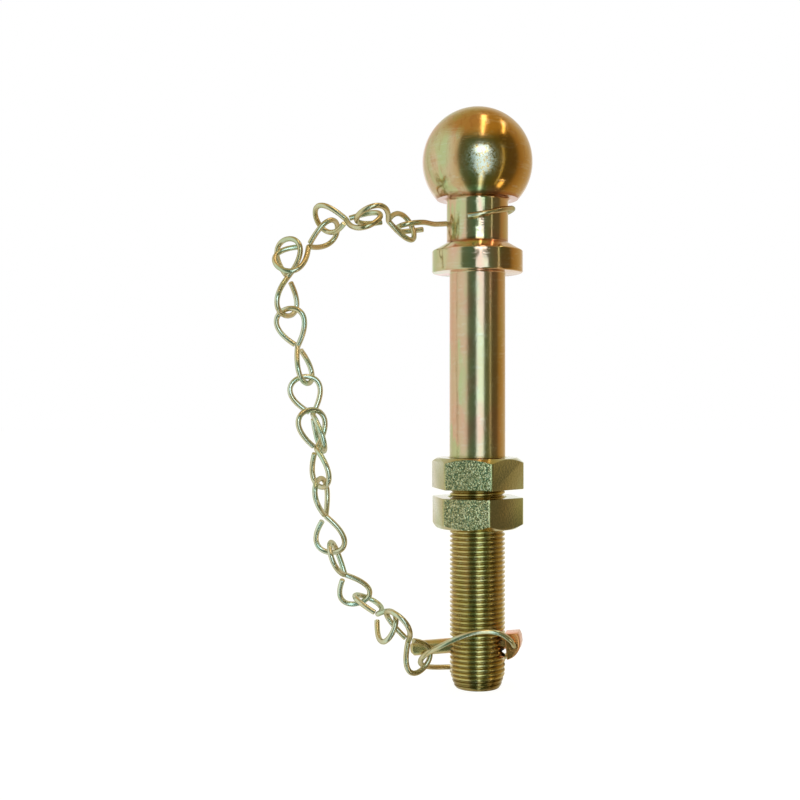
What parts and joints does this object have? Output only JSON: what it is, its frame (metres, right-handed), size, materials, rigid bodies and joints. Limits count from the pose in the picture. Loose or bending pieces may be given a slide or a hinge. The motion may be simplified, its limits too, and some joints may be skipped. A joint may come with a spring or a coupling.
{
  "type": "tow ball",
  "caption": "Bolt-on tow ball on a long threaded shank, with jam nuts and a ringed linch pin kept on a wire chain from the neck.",
  "frame": {"origin": "centre of the collar's underside, which seats on the drawbar", "axes": "+Z along the shank's axis, from the threaded tip to the ball; -X towards the side on which the chain hangs; -Y towards the viewer of the picture"},
  "size_m": [0.1183, 0.05, 0.2634],
  "materials": {
    "turned_pin": "turned steel, yellow zinc passivated, glossy with an iridescent cast",
    "forged_nut": "forged steel, yellow zinc passivated, rough faces and smooth chamfers",
    "linch_pin": "steel, yellow zinc passivated, satin with an orange cast",
    "bent_wire": "drawn steel wire, yellow zinc passivated, glossy"
  },
  "bodies": {
    "root": {"ball_pin": "turned_pin", "neck_hook": "bent_wire", "linch_pin": "linch_pin"},
    "upper_nut": {"upper_nut": "forged_nut"},
    "lower_nut": {"lower_nut": "forged_nut"},
    "ring": {"linch_ring": "bent_wire"},
    "chain_upper": {"chain_link_01": "bent_wire", "chain_link_02": "bent_wire", "chain_link_03": "bent_wire", "chain_link_04": "bent_wire"},
    "chain_middle": {"chain_link_05": "bent_wire", "chain_link_06": "bent_wire", "chain_link_07": "bent_wire", "chain_link_08": "bent_wire"},
    "chain_lower": {"chain_link_09": "bent_wire", "chain_link_10": "bent_wire", "chain_link_11": "bent_wire"}
  },
  "joints": [
    {"name": "upper_nut_travel", "type": "slide", "parent": "root", "child": "upper_nut", "axis": [0, 0, 1], "range_m": [-0.02, 0]},
    {"name": "lower_nut_travel", "type": "slide", "parent": "upper_nut", "child": "lower_nut", "axis": [0, 0, 1], "range_m": [-0.02, 0.0037]},
    {"name": "ring_swing", "type": "hinge", "parent": "root", "child": "ring", "pos_m": [0.01697, -0.00361, -0.16767], "axis": [0.2079, 0.9781, 0], "range_deg": [0, 2]},
    {"name": "chain_swing", "type": "hinge", "parent": "root", "child": "chain_upper", "pos_m": [-0.02931, 0.00857, 0.02126], "axis": [0.0242, -0.0496, -0.9985], "range_deg": [-10, 15]},
    {"name": "middle_swing", "type": "hinge", "parent": "chain_upper", "child": "chain_middle", "pos_m": [-0.08725, 0.00212, -0.0177], "axis": [0.3667, -0.0198, -0.9301], "range_deg": [-5, 5]},
    {"name": "lower_swing", "type": "hinge", "parent": "chain_middle", "child": "chain_lower", "pos_m": [-0.06534, 0.00534, -0.12658], "axis": [0.6275, -0.1015, -0.772], "range_deg": [-2, 2]}
  ]
}
